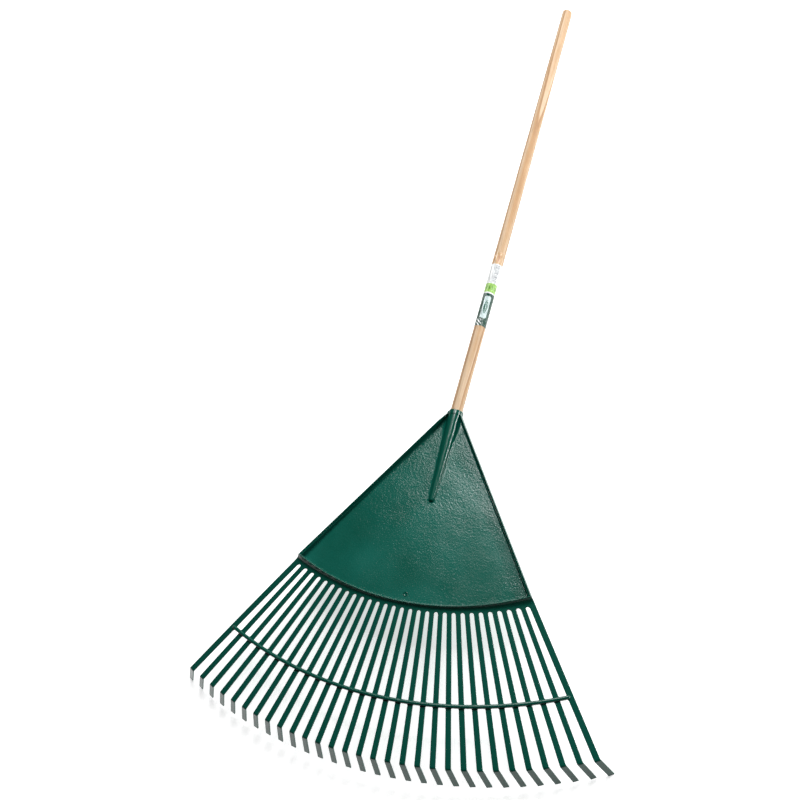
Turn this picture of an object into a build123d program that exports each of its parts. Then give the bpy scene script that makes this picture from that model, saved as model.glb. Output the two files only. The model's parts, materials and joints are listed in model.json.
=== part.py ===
from build123d import *
import math
import os

# Leaf rake, lying with its tines down: it rests on its two outer tine tips and on the end
# of its handle.  X runs across the head, +Y towards the end of the handle, +Z is up.
# Millimetres and degrees.

# ---- driving dimensions ---------------------------------------------------------------

# Tines fan out from the apex, a point on the centre line beside the mouth of the socket.
# A fan arc is (radius, how far its centre lies from the apex, towards the handle).
TINE_COUNT = 30
FAN_HALF_ANGLE = 34.4
LIP_ARC = (512.0, 140.0)
ROOT_ARC = (578.0, 197.0)
BAR_ARC = (778.0, 239.0)
KNEE_ARC = (951.0, 304.0)

# The tines widen slightly towards their bends, and the two outermost are wider throughout.
TINE_ROOT_WIDTH = 8.8
TINE_KNEE_WIDTH = 10.4
OUTER_TINE_WIDTH = 11.0
TINE_THICKNESS = 3.0
HOOK_REACH = 22.5
HOOK_DROP = 45.5
HOOK_SPREAD = 8.4

# The head is cupped across its width, like a piece of a very large pipe.
CUP_RADIUS = 2470.0
SHEET = 2.5

BAR_WIDTH = 7.0
BAR_RISE = 4.5
BAR_SINK = 1.5

# The shaft tapers slightly from the mouth of the socket to a straight end of its own length.
HANDLE_DIAMETER = 23.0
HANDLE_END_DIAMETER = 21.0
HANDLE_END_LENGTH = 124.0
HANDLE_REACH = 975.0
HANDLE_INSERTED = 130.0
HANDLE_INNER_DIAMETER = 10.0
HANDLE_END_ROUND = 4.0
HANDLE_SLOPE = 4.8

# The mouth of the socket, in the head's own directions, seen from the apex.
MOUTH_AHEAD = 11.5
MOUTH_BELOW = 31.5

COLLAR_DIAMETER = 28.5
COLLAR_LENGTH = 8.0
SOCKET_LENGTH = 190.0
SOCKET_DIAMETER = 27.2
SOCKET_NOSE_DIAMETER = 11.0

PAN_NECK_HALF_WIDTH = 14.0
PAN_SIDE_ANGLE = 33.2
FLANGE_AT_COLLAR = 8.0
FLANGE_PEAK = 13.0
FLANGE_AT_CORNER = 2.0
LIP_RISE = 5.0
LIP_DEPTH = 6.0

SCREW_FROM_MOUTH = 28.0
SCREW_HEAD_DIAMETER = 6.5
SCREW_SHANK_DIAMETER = 3.5
SCREW_HEAD_HEIGHT = 2.0
SCREW_TIP_FROM_AXIS = 2.0

LABEL_FROM_MOUTH = 184.0
LABEL_LENGTH = 167.0
LABEL_FILM = 0.15

FAR = 1000.0


# ---- the fan's geometry, in the head's plane ------------------------------------------


def tine_angle(index):
    """Angle of a tine from the centre line; the first is the outermost on the -X side."""
    return FAN_HALF_ANGLE * (2 * index / (TINE_COUNT - 1) - 1)


def reach_to(arc, angle):
    """Distance from the apex to a fan arc, along a ray at the given angle."""
    radius, centre = arc
    across = centre * math.sin(math.radians(angle))
    return math.sqrt(radius**2 - across**2) - centre * math.cos(math.radians(angle))


def fan_point(angle, reach, aside=0.0):
    """Point in the head's plane, reach along a ray and aside to its +X side."""
    s = math.sin(math.radians(angle))
    c = math.cos(math.radians(angle))
    return (reach * s + aside * c, -reach * c + aside * s)


def cup_drop(x):
    """How far the cupped sheet lies below the head's plane."""
    return CUP_RADIUS - math.sqrt(CUP_RADIUS**2 - x**2)


# ---- how the rake lies on the floor ---------------------------------------------------

slope = math.radians(HANDLE_SLOPE)
knee_x, knee_y = fan_point(FAN_HALF_ANGLE, reach_to(KNEE_ARC, FAN_HALF_ANGLE))
tip_x, tip_y = fan_point(
    FAN_HALF_ANGLE,
    reach_to(KNEE_ARC, FAN_HALF_ANGLE) + HOOK_REACH,
    HOOK_SPREAD - OUTER_TINE_WIDTH / 2,
)
tip_z = -cup_drop(knee_x) - HOOK_DROP
heel = HANDLE_REACH - HANDLE_END_ROUND
heel_radius = HANDLE_END_DIAMETER / 2
heel_y = MOUTH_AHEAD + heel * math.cos(slope) - heel_radius * math.sin(slope)
heel_z = -MOUTH_BELOW - heel * math.sin(slope) - heel_radius * math.cos(slope)
lay = math.atan2(tip_z - heel_z, heel_y - tip_y)

# The apex stands this far above the floor and ahead of the middle of the rake's length.
apex_z = -(tip_y * math.sin(lay) + tip_z * math.cos(lay))
front_y = -(reach_to(KNEE_ARC, 0) + HOOK_REACH) * math.cos(lay) + HOOK_DROP * math.sin(lay)
end_y = MOUTH_AHEAD * math.cos(lay) + MOUTH_BELOW * math.sin(lay)
end_y += HANDLE_REACH * math.cos(slope - lay)
apex_y = -(front_y + end_y) / 2

head = Plane(
    origin=(0, apex_y, apex_z),
    x_dir=(1, 0, 0),
    z_dir=(0, -math.sin(lay), math.cos(lay)),
)
pan = Plane(
    origin=head.from_local_coords((0, MOUTH_AHEAD, -MOUTH_BELOW)),
    x_dir=(1, 0, 0),
    z_dir=(0, math.sin(slope - lay), math.cos(slope - lay)),
)
handle_axis = Axis(pan.origin, pan.y_dir)


def facing_tines(plane):
    """Section plane across a plane's centre line, seen from the handle."""
    return Plane(origin=plane.origin, x_dir=plane.x_dir, z_dir=-plane.y_dir)


def from_the_side(plane):
    """Section plane along a plane's centre line: x towards the handle, y up."""
    return Plane(origin=plane.origin, x_dir=plane.y_dir, z_dir=plane.x_dir)


def cupped_sheet(plane, low, high):
    """Sheet cupped about the plane's centre line, from low to high above its surface."""
    with BuildPart() as sheet:
        with BuildSketch(facing_tines(plane)):
            with Locations((0, -CUP_RADIUS)):
                Circle(CUP_RADIUS + high)
                Circle(CUP_RADIUS + low, mode=Mode.SUBTRACT)
            Rectangle(FAR, FAR / 5, mode=Mode.INTERSECT)
        extrude(amount=FAR, both=True)
    return sheet.part


def inside_arc(arc, trim=0.0, mode=Mode.INTERSECT):
    """Keep (or cut away) what lies inside a fan arc, in the sketch being drawn."""
    radius, centre = arc
    with Locations((0, centre)):
        Circle(radius + trim, mode=mode)


def side_line(y, inward=0.0):
    """Half width of the pan at y, measured to a side line moved inwards."""
    angle = math.radians(PAN_SIDE_ANGLE)
    return PAN_NECK_HALF_WIDTH - y * math.tan(angle) - inward / math.cos(angle)


# ---- fixing screw: up through the underside of the socket, into the handle -------------


def socket_radius(from_mouth):
    """Outer radius of the tapered socket behind its collar."""
    taper_length = SOCKET_LENGTH - SOCKET_NOSE_DIAMETER / 2 - COLLAR_LENGTH
    taper = (SOCKET_DIAMETER - SOCKET_NOSE_DIAMETER) / 2 / taper_length
    return SOCKET_DIAMETER / 2 - taper * (from_mouth - COLLAR_LENGTH)


screw_top = -socket_radius(SCREW_FROM_MOUTH) + 0.6
with BuildPart() as fixing_screw:
    with BuildSketch(from_the_side(pan)):
        with BuildLine(Location((-SCREW_FROM_MOUTH, 0))):
            Polyline(
                (0, screw_top),
                (SCREW_HEAD_DIAMETER / 2, screw_top),
                (SCREW_SHANK_DIAMETER / 2, screw_top + SCREW_HEAD_HEIGHT),
                (SCREW_SHANK_DIAMETER / 2, -SCREW_TIP_FROM_AXIS - 3),
                (0, -SCREW_TIP_FROM_AXIS),
                close=True,
            )
        make_face()
    revolve(axis=Axis(pan.from_local_coords((0, -SCREW_FROM_MOUTH, 0)), pan.z_dir))
fixing_screw.part.label = "fixing_screw"

# ---- handle: round wooden shaft, tapered where it sits in the socket -------------------


def handle_radius(from_mouth):
    """Radius of the shaft on its long gentle taper outside the socket."""
    share = from_mouth / (HANDLE_REACH - HANDLE_END_LENGTH)
    return (HANDLE_DIAMETER + (HANDLE_END_DIAMETER - HANDLE_DIAMETER) * share) / 2


with BuildPart() as handle:
    with BuildSketch(from_the_side(pan)):
        Polygon(
            (-HANDLE_INSERTED, 0),
            (-HANDLE_INSERTED, HANDLE_INNER_DIAMETER / 2),
            (0, HANDLE_DIAMETER / 2),
            (HANDLE_REACH - HANDLE_END_LENGTH, HANDLE_END_DIAMETER / 2),
            (HANDLE_REACH, HANDLE_END_DIAMETER / 2),
            (HANDLE_REACH, 0),
            align=None,
        )
    revolve(axis=handle_axis)
    fillet(handle.edges().sort_by(handle_axis)[-1], HANDLE_END_ROUND)
    add(fixing_screw.part, mode=Mode.SUBTRACT)
handle.part.label = "handle"

# ---- handle label: thin printed film wrapped round the shaft --------------------------

label_end = LABEL_FROM_MOUTH + LABEL_LENGTH
with BuildPart() as handle_label:
    with BuildSketch(from_the_side(pan)):
        Polygon(
            (LABEL_FROM_MOUTH, handle_radius(LABEL_FROM_MOUTH)),
            (label_end, handle_radius(label_end)),
            (label_end, handle_radius(label_end) + LABEL_FILM),
            (LABEL_FROM_MOUTH, handle_radius(LABEL_FROM_MOUTH) + LABEL_FILM),
            align=None,
        )
    revolve(axis=handle_axis)
handle_label.part.label = "handle_label"

# ---- handle socket: tapered tube with a collar at its mouth and a closed round nose ----

nose = SOCKET_NOSE_DIAMETER / 2
with BuildPart() as socket_blank:
    with BuildSketch(from_the_side(pan)):
        with BuildLine():
            Polyline(
                (0, 0),
                (0, COLLAR_DIAMETER / 2),
                (-COLLAR_LENGTH, COLLAR_DIAMETER / 2),
                (-COLLAR_LENGTH, SOCKET_DIAMETER / 2),
                (nose - SOCKET_LENGTH, nose),
            )
            RadiusArc((nose - SOCKET_LENGTH, nose), (-SOCKET_LENGTH, 0), -nose)
            Line((-SOCKET_LENGTH, 0), (0, 0))
        make_face()
    revolve(axis=handle_axis)

with BuildPart() as handle_socket:
    add(socket_blank.part)
    add(handle.part, mode=Mode.SUBTRACT)
    add(fixing_screw.part, mode=Mode.SUBTRACT)
handle_socket.part.label = "handle_socket"

# ---- pan floor: a triangular sheet in line with the handle ----------------------------

pan_sheet = cupped_sheet(pan, -SHEET, 0)
with BuildPart() as pan_floor:
    with BuildSketch(head):
        Polygon(
            (-side_line(0, SHEET), 0),
            (-side_line(-FAR / 2, SHEET), -FAR / 2),
            (side_line(-FAR / 2, SHEET), -FAR / 2),
            (side_line(0, SHEET), 0),
            align=None,
        )
        inside_arc(LIP_ARC, -SHEET)
    extrude(amount=FAR / 10, both=True)
    add(pan_sheet, mode=Mode.INTERSECT)
    add(socket_blank.part, mode=Mode.SUBTRACT)
pan_floor.part.label = "pan_floor"

# ---- side flanges: raised edges that run from the collar to the ends of the lip --------

flange_sheet = cupped_sheet(pan, -SHEET, 2 * FLANGE_PEAK)
corner = -reach_to(LIP_ARC, PAN_SIDE_ANGLE) * math.cos(math.radians(PAN_SIDE_ANGLE))


def side_flange(side):
    """One flange; side is -1 for the -X edge of the pan and 1 for the +X edge."""
    with BuildPart() as flange:
        with BuildSketch(head):
            Polygon(
                (side * side_line(0), 0),
                (side * side_line(-FAR / 2), -FAR / 2),
                (side * side_line(-FAR / 2, SHEET), -FAR / 2),
                (side * side_line(0, SHEET), 0),
                align=None,
            )
            inside_arc(LIP_ARC)
        extrude(amount=FAR / 10, both=True)
        add(flange_sheet, mode=Mode.INTERSECT)
        with BuildSketch(from_the_side(pan)):
            Polygon(
                (0, -FAR / 10),
                (0, FLANGE_AT_COLLAR),
                (-3 * COLLAR_LENGTH, FLANGE_PEAK),
                (corner - MOUTH_AHEAD, FLANGE_AT_CORNER),
                (corner - FAR / 10, FLANGE_AT_CORNER),
                (corner - FAR / 10, -FAR / 10),
                align=None,
            )
        extrude(amount=FAR / 2, both=True, mode=Mode.INTERSECT)
        add(socket_blank.part, mode=Mode.SUBTRACT)
    return flange.part


left_flange = side_flange(-1)
left_flange.label = "left_flange"
right_flange = side_flange(1)
right_flange.label = "right_flange"

# ---- end lip: the raised curved edge between the pan and the tines ---------------------

lip_sheet = cupped_sheet(head, -LIP_DEPTH, LIP_RISE)
with BuildPart() as end_lip:
    with BuildSketch(head):
        Polygon(
            (-side_line(0, SHEET), 0),
            (-side_line(-FAR / 2, SHEET), -FAR / 2),
            (side_line(-FAR / 2, SHEET), -FAR / 2),
            (side_line(0, SHEET), 0),
            align=None,
        )
        inside_arc(LIP_ARC)
        inside_arc(LIP_ARC, -SHEET, Mode.SUBTRACT)
    extrude(amount=FAR / 10, both=True)
    add(lip_sheet, mode=Mode.INTERSECT)
end_lip.part.label = "end_lip"

# ---- tine base: the curved strip between the lip and the roots of the tines ------------

tine_sheet = cupped_sheet(head, -TINE_THICKNESS, 0)
with BuildPart() as tine_base:
    with BuildSketch(head):
        Polygon(
            fan_point(-FAN_HALF_ANGLE, FAR / 5, -OUTER_TINE_WIDTH / 2),
            fan_point(-FAN_HALF_ANGLE, FAR / 2, -OUTER_TINE_WIDTH / 2),
            fan_point(FAN_HALF_ANGLE, FAR / 2, OUTER_TINE_WIDTH / 2),
            fan_point(FAN_HALF_ANGLE, FAR / 5, OUTER_TINE_WIDTH / 2),
            align=None,
        )
        inside_arc(ROOT_ARC)
        inside_arc(LIP_ARC, 0, Mode.SUBTRACT)
    extrude(amount=FAR / 10, both=True)
    add(tine_sheet, mode=Mode.INTERSECT)
tine_base.part.label = "tine_base"

# ---- crossbar: arc-shaped rib let into the top of the tines, between the outer two -----

bar_sheet = cupped_sheet(head, -BAR_SINK, BAR_RISE)
with BuildPart() as crossbar:
    with BuildSketch(head):
        Polygon(
            fan_point(-FAN_HALF_ANGLE, FAR / 5, OUTER_TINE_WIDTH / 2),
            fan_point(-FAN_HALF_ANGLE, 0.9 * FAR, OUTER_TINE_WIDTH / 2),
            fan_point(FAN_HALF_ANGLE, 0.9 * FAR, -OUTER_TINE_WIDTH / 2),
            fan_point(FAN_HALF_ANGLE, FAR / 5, -OUTER_TINE_WIDTH / 2),
            align=None,
        )
        inside_arc(BAR_ARC, BAR_WIDTH)
        inside_arc(BAR_ARC, 0, Mode.SUBTRACT)
    extrude(amount=FAR / 10, both=True)
    add(bar_sheet, mode=Mode.INTERSECT)
crossbar.part.label = "crossbar"

# ---- tines: flat flexible strips with bent tips ---------------------------------------

hook_foot = TINE_THICKNESS * math.hypot(HOOK_REACH, HOOK_DROP) / HOOK_DROP


def tine_half_width(index, reach):
    """Half the width of a tine, at a distance from the apex."""
    if index in (0, TINE_COUNT - 1):
        return OUTER_TINE_WIDTH / 2
    root = reach_to(ROOT_ARC, tine_angle(index))
    share = (reach - root) / (reach_to(KNEE_ARC, tine_angle(index)) - root)
    return (TINE_ROOT_WIDTH + (TINE_KNEE_WIDTH - TINE_ROOT_WIDTH) * share) / 2


def tine(index):
    """One tine, from the tine base to its bent tip."""
    angle = tine_angle(index)
    knee = reach_to(KNEE_ARC, angle)
    start_half = tine_half_width(index, FAR / 5)
    half = tine_half_width(index, knee)
    spread = HOOK_SPREAD * angle / FAN_HALF_ANGLE
    bend = head.offset(-cup_drop(knee * math.sin(math.radians(angle))))
    ahead_x, ahead_y = fan_point(angle, HOOK_REACH, spread)
    down_to_tip = bend.from_local_coords((ahead_x, ahead_y, -HOOK_DROP)) - bend.origin
    with BuildPart() as strip:
        with BuildSketch(head):
            Polygon(
                fan_point(angle, FAR / 5, -start_half),
                fan_point(angle, knee, -half),
                fan_point(angle, knee, half),
                fan_point(angle, FAR / 5, start_half),
                align=None,
            )
            inside_arc(ROOT_ARC, 0, Mode.SUBTRACT)
        extrude(amount=FAR / 10, both=True)
        add(tine_sheet, mode=Mode.INTERSECT)
        add(crossbar.part, mode=Mode.SUBTRACT)
        with BuildSketch(bend):
            Polygon(
                fan_point(angle, knee - hook_foot, -half),
                fan_point(angle, knee, -half),
                fan_point(angle, knee, half),
                fan_point(angle, knee - hook_foot, half),
                align=None,
            )
        extrude(amount=down_to_tip.length, dir=down_to_tip.normalized())
    return strip.part


# ---- one file for each node -----------------------------------------------------------

os.makedirs("parts", exist_ok=True)
export_step(handle.part, "parts/handle.step")
export_step(handle_label.part, "parts/handle_label.step")
export_step(fixing_screw.part, "parts/fixing_screw.step")
export_step(handle_socket.part, "parts/handle_socket.step")
export_step(pan_floor.part, "parts/pan_floor.step")
export_step(left_flange, "parts/left_flange.step")
export_step(right_flange, "parts/right_flange.step")
export_step(end_lip.part, "parts/end_lip.step")
export_step(tine_base.part, "parts/tine_base.step")
export_step(crossbar.part, "parts/crossbar.step")
for number in range(1, TINE_COUNT + 1):
    piece = tine(number - 1)
    piece.label = f"tine_{number:02d}"
    export_step(piece, f"parts/{piece.label}.step")
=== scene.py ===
"""Leaf rake: one green moulded head, a turned wooden handle, its printed wrap and its screw.

Lengths in this file are millimetres.  The head is drawn from the apex of the fan of tines,
with X across, +Y towards the handle and +Z away from the side that the hooks bend to.  The
handle, label and screw are drawn from the socket's mouth, with Y along the handle's axis.
The matrices HEAD and ON_AXIS carry the two into the frame's metres.
"""

import math

import bpy
from mathutils import Matrix, Vector
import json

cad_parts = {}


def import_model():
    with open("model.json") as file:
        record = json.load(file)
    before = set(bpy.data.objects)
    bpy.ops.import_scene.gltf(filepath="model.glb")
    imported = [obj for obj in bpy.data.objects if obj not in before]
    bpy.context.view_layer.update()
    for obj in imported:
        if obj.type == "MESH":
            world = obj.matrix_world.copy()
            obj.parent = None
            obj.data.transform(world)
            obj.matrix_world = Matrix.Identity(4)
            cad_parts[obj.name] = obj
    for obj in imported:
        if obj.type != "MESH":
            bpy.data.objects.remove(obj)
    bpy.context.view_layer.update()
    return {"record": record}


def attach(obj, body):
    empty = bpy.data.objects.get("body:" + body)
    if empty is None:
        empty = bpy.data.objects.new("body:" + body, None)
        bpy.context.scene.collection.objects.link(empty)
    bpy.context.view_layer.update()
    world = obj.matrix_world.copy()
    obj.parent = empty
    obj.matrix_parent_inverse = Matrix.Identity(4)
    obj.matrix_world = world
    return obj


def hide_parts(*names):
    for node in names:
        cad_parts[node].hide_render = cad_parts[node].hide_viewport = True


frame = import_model()

MM = 0.001

# ---- the design's driving dimensions, as in the CAD model

TINE_COUNT = 30
FAN_HALF_ANGLE = 34.4
LIP_ARC = (512.0, 140.0)
ROOT_ARC = (578.0, 197.0)
BAR_ARC = (778.0, 239.0)
KNEE_ARC = (951.0, 304.0)
TINE_ROOT_WIDTH = 8.8
TINE_KNEE_WIDTH = 10.4
OUTER_TINE_WIDTH = 11.0
TINE_THICKNESS = 3.0
HOOK_REACH = 22.5
HOOK_DROP = 45.5
HOOK_SPREAD = 8.4
CUP_RADIUS = 2470.0
SHEET = 2.5
BAR_WIDTH = 7.0
BAR_RISE = 4.5
HANDLE_DIAMETER = 23.0
HANDLE_END_DIAMETER = 21.0
HANDLE_END_LENGTH = 124.0
HANDLE_END_ROUND = 4.0
HANDLE_REACH = 975.0
HANDLE_INSERTED = 130.0
HEEL_DIAMETER = 10.0
HANDLE_SLOPE = math.radians(4.8)
MOUTH_AHEAD = 11.5
MOUTH_BELOW = 31.5
COLLAR_DIAMETER = 28.5
COLLAR_LENGTH = 9.5
COLLAR_TOP = -4.0
SOCKET_LENGTH = 190.0
SOCKET_DIAMETER = 27.2
SOCKET_NOSE_DIAMETER = 11.0
PAN_NECK_HALF_WIDTH = 14.0
PAN_SIDE_ANGLE = math.radians(33.2)
SCREW_FROM_MOUTH = 28.0
SCREW_HEAD_DIAMETER = 6.5
LABEL_FROM_MOUTH = 180.0
LABEL_LENGTH = 167.0
LABEL_FILM = 0.15

# ---- where the head and the handle are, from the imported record's mount

mount = frame["record"]["mounts"][0]
mount_from_mouth = HANDLE_REACH - HANDLE_END_LENGTH / 2 - HANDLE_END_ROUND / 2
along = Vector(mount["axis"]).normalized()
mouth = Vector(mount["pos_m"]) - along * mount_from_mouth * MM
ON_AXIS = Matrix.Translation(mouth) @ Matrix(
    ((1, 0, 0, 0), (0, along.y, -along.z, 0), (0, along.z, along.y, 0), (0, 0, 0, 1))
) @ Matrix.Diagonal((MM, MM, MM, 1))
HEAD = ON_AXIS @ Matrix.Rotation(HANDLE_SLOPE, 4, "X") @ Matrix.Translation(
    (0, -MOUTH_AHEAD, MOUTH_BELOW)
)


# ---- the fan's geometry


def tine_angle(index):
    """Angle of a tine from the centre line, in radians; index 0 is the outermost at -X."""
    return math.radians(FAN_HALF_ANGLE * (2 * index / (TINE_COUNT - 1) - 1))


def reach_to(arc, angle):
    """Distance from the apex to a fan arc, along a ray."""
    radius, centre = arc
    return math.sqrt(radius**2 - (centre * math.sin(angle)) ** 2) - centre * math.cos(angle)


def fan_point(angle, reach, aside=0.0):
    """x and y of a point at a reach along a ray, and aside to its +X side."""
    s, c = math.sin(angle), math.cos(angle)
    return reach * s + aside * c, -reach * c + aside * s


def cup_drop(x):
    """How far the cupped head falls away from its middle."""
    return CUP_RADIUS - math.sqrt(CUP_RADIUS**2 - x**2)


def plane_height(y):
    """Height of the plane through the handle's axis."""
    return -MOUTH_BELOW - (y - MOUTH_AHEAD) * math.tan(HANDLE_SLOPE)


def floor_height(x, y):
    """Height of the pan's floor."""
    return plane_height(y) - cup_drop(x) / math.cos(HANDLE_SLOPE)


def from_mouth(y):
    """Distance down the handle's axis from the mouth of the socket."""
    return (MOUTH_AHEAD - y) / math.cos(HANDLE_SLOPE)


def mix(a, b, share):
    """a at share 0, b at share 1."""
    return a + (b - a) * share


def smooth(value, start, end):
    """0 at start, 1 at end, with no corner at either."""
    t = min(1.0, max(0.0, (value - start) / (end - start)))
    return t * t * (3 - 2 * t)


# ---- meshes
# EDGE_STEPS are the depths in from an edge at which its rounding has a row of points.

EDGE_ROUND = 0.8
EDGE_STEPS = (0.0, 0.12, 0.35, 0.8)


def edge_drop(depth):
    """How far a rounded edge lies below the surface, at a depth in from the edge."""
    if depth >= EDGE_ROUND:
        return 0.0
    depth = max(0.0, depth)
    return EDGE_ROUND - math.sqrt(EDGE_ROUND**2 - (EDGE_ROUND - depth) ** 2)


def new_object(name, shell, placing, material):
    """A smooth-shaded mesh object made of a shell, with placing worked into its vertices."""
    mesh = bpy.data.meshes.new(name)
    mesh.from_pydata([placing @ Vector(v) for v in shell.verts], [], shell.faces)
    grain = mesh.attributes.new("grain", "FLOAT", "POINT")
    grain.data.foreach_set("value", shell.grain)
    mesh.materials.append(material)
    mesh.shade_smooth()
    obj = bpy.data.objects.new(name, mesh)
    bpy.context.scene.collection.objects.link(obj)
    normals = obj.modifiers.new("weighted_normals", "WEIGHTED_NORMAL")
    normals.keep_sharp = True
    return obj


class Shell:
    """Closed skins collected into one mesh.  grain is how far a point has the pan's grain."""

    def __init__(self):
        self.verts = []
        self.faces = []
        self.grain = []

    def add(self, point, grain=0.0):
        """Adds a point and gives its number."""
        self.verts.append(tuple(point))
        self.grain.append(grain)
        return len(self.verts) - 1

    def lathe(self, profile, place=None, steps=48, closed=False, ripple=None):
        """Turns a profile of (along, radius) about the Y axis, and puts its points in place.
        ripple adds to the radius at a place along and a turn round the line."""
        rings = []
        for along_axis, radius in profile:
            ring = []
            for k in range(steps):
                turn = 2 * math.pi * k / steps
                out = radius + (ripple(along_axis, turn) if ripple else 0.0)
                point = (out * math.sin(turn), along_axis, out * math.cos(turn))
                ring.append(self.add(place(*point) if place else point))
            rings.append(ring)
        self.skin(rings, closed)

    def skin(self, rings, closed=False):
        """Faces between rings of points, and a cap at each end unless they close on themselves."""
        pairs = list(zip(rings, rings[1:]))
        if closed:
            pairs.append((rings[-1], rings[0]))
        else:
            self.faces += [rings[0][::-1], rings[-1]]
        for a, b in pairs:
            for k in range(len(a)):
                n = (k + 1) % len(a)
                self.faces.append([a[k], a[n], b[n], b[k]])


class Sheet:
    """A sheet with an upper and a lower face, closed along its edges by walls."""

    def __init__(self):
        self.upper = []
        self.lower = []
        self.grain = []
        self.faces = []

    def add(self, upper, lower, grain=0.0):
        """Adds an upper point and the lower one under it, and gives their number."""
        self.upper.append(tuple(upper))
        self.lower.append(tuple(lower))
        self.grain.append(grain)
        return len(self.upper) - 1

    def strip(self, first, second):
        """Faces between two rows of equal length; the second lies clockwise of the first."""
        for a, b, c, d in zip(first, first[1:], second[1:], second):
            self.faces.append([d, c, b, a])

    def into(self, shell):
        """Adds the closed sheet to a shell."""
        start = len(shell.verts)
        count = len(self.upper)
        shell.verts += self.upper + self.lower
        shell.grain += self.grain + [0.5 * grain for grain in self.grain]
        edges = set()
        for face in self.faces:
            shell.faces.append([start + v for v in face])
            shell.faces.append([start + count + v for v in reversed(face)])
            for a, b in zip(face, face[1:] + face[:1]):
                edges.add((a, b))
        for a, b in sorted(edges):
            if (b, a) not in edges:
                wall = [b, a, count + a, count + b]
                shell.faces.append([start + v for v in wall])


# ---- head: pan, boss, flanges, lip and tines as one moulding

# The head is a grid: rows run across it, from the collar to the roots of the tines, and
# columns run along it.  Rows are named by y0, their y on the centre line.

COLUMNS_PER_TINE = 6
CENTRE_COLUMNS = COLUMNS_PER_TINE * (TINE_COUNT - 1)
HALF_COLUMNS = CENTRE_COLUMNS // 2
FLANGE_STEPS = 12
GRID_START = 7.0
COLUMNS_FAN_FROM = -186.0
COLUMNS_FAN_TO = -330.0

BOSS_COLUMNS = 15
BOSS_FILLET = 4.0
NOSE_FROM_MOUTH = SOCKET_LENGTH - SOCKET_NOSE_DIAMETER / 2

NECK_TOP = 4.0
NECK_FOOT = -16.0
FLANGE_WIDTH_AT_COLLAR = 3.0
FLANGE_WIDTH_AT_NECK = 7.6
FLANGE_TOP_WIDTH = 2.0
FLANGE_RISE_AT_COLLAR = 9.5
FLANGE_RISE_AT_PEAK = 12.6
FLANGE_RISE_AT_CORNER = 2.0
FLANGE_PEAK_FROM_MOUTH = 32.0
COVE_AT_NECK = 4.5
COVE_AT_CORNER = 1.4

BOW_START = -30.0
BOW_END = -366.0
CREASE_Y = -238.0
CREASE_RADIUS = 310.0
CREASE_STEP = 0.35
CREASE_FADED = -330.0

GRAIN_FADE_FROM = -120.0
GRAIN_FADE_TO = -300.0
GRAIN_AT_LIP = 0.45

# The lip's inner wall is (distance inside the lip's arc, share of the rise).  Its outer wall
# runs from LIP_EDGE to LIP_FOOT, as shares of the way from that arc to the tines' roots.
LIP_RISE_CENTRE = 5.0
LIP_RISE_CORNER = 8.5
LIP_INSIDE = [(3.6, 0.0), (3.0, 0.04), (2.6, 0.15), (2.35, 0.4)]
LIP_INSIDE += [(2.2, 0.7), (2.0, 0.9), (1.6, 0.98), (0.8, 1.03)]
LIP_CREST = 1.04
LIP_EDGE = 0.06
LIP_FOOT = 0.9
LIP_CURVE = 1.9
SLOT_SETBACK = 1.6

LAST_ANGLE = tine_angle(TINE_COUNT - 1)
corner_x, corner_y = fan_point(LAST_ANGLE, reach_to(LIP_ARC, LAST_ANGLE), OUTER_TINE_WIDTH / 2)


def boss_radius(distance):
    """Radius of the tapered boss, at a distance from the mouth."""
    share = (distance - COLLAR_LENGTH) / (NOSE_FROM_MOUTH - COLLAR_LENGTH)
    return mix(SOCKET_DIAMETER, SOCKET_NOSE_DIAMETER, min(1.0, max(0.0, share))) / 2


def boss_foot(radius, sheet=0.0):
    """Half width of the boss where its fillet meets a sheet's surface."""
    return math.sqrt((radius + BOSS_FILLET) ** 2 - (sheet + BOSS_FILLET) ** 2)


def boss_height(x, y, sheet=0.0):
    """Height of the boss and its fillet above the axis plane, or of the sheet beyond them."""
    distance = from_mouth(y)
    radius = boss_radius(distance)
    off_axis = math.hypot(x, max(0.0, distance - NOSE_FROM_MOUTH))
    foot = boss_foot(radius, sheet)
    tangent = foot * radius / (radius + BOSS_FILLET)
    if off_axis >= foot:
        return sheet
    if off_axis >= tangent:
        return sheet + BOSS_FILLET - math.sqrt(BOSS_FILLET**2 - (foot - off_axis) ** 2)
    return math.sqrt(radius**2 - off_axis**2)


def boss_column(share, radius):
    """x of a column over the boss: even steps round its back, then round its fillet."""
    foot = boss_foot(radius)
    lean = math.asin(foot / (radius + BOSS_FILLET))
    turn = 2 * lean * share
    if turn < lean:
        return radius * math.sin(turn)
    return foot - BOSS_FILLET * math.sin(2 * lean - turn)


def side_x(y):
    """Half width of the pan."""
    slope = (corner_x - PAN_NECK_HALF_WIDTH) / -corner_y
    return PAN_NECK_HALF_WIDTH + max(0.0, -y) * slope


def flange_width(y):
    """Across the flange from its outer face to the pan's floor."""
    neck = mix(FLANGE_WIDTH_AT_COLLAR, FLANGE_WIDTH_AT_NECK, smooth(y, NECK_TOP, NECK_FOOT))
    return mix(neck, OUTER_TINE_WIDTH / 2, smooth(y, NECK_FOOT, corner_y))


def flange_top(y):
    """Height of the flange's top edge."""
    distance = from_mouth(y)
    climb = smooth(distance, GRID_START, FLANGE_PEAK_FROM_MOUTH)
    rise = mix(FLANGE_RISE_AT_COLLAR, FLANGE_RISE_AT_PEAK, climb)
    past_peak = max(0.0, distance - FLANGE_PEAK_FROM_MOUTH)
    fall = past_peak / (from_mouth(corner_y) - FLANGE_PEAK_FROM_MOUTH)
    return plane_height(y) + rise - (FLANGE_RISE_AT_PEAK - FLANGE_RISE_AT_CORNER) * fall


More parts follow.
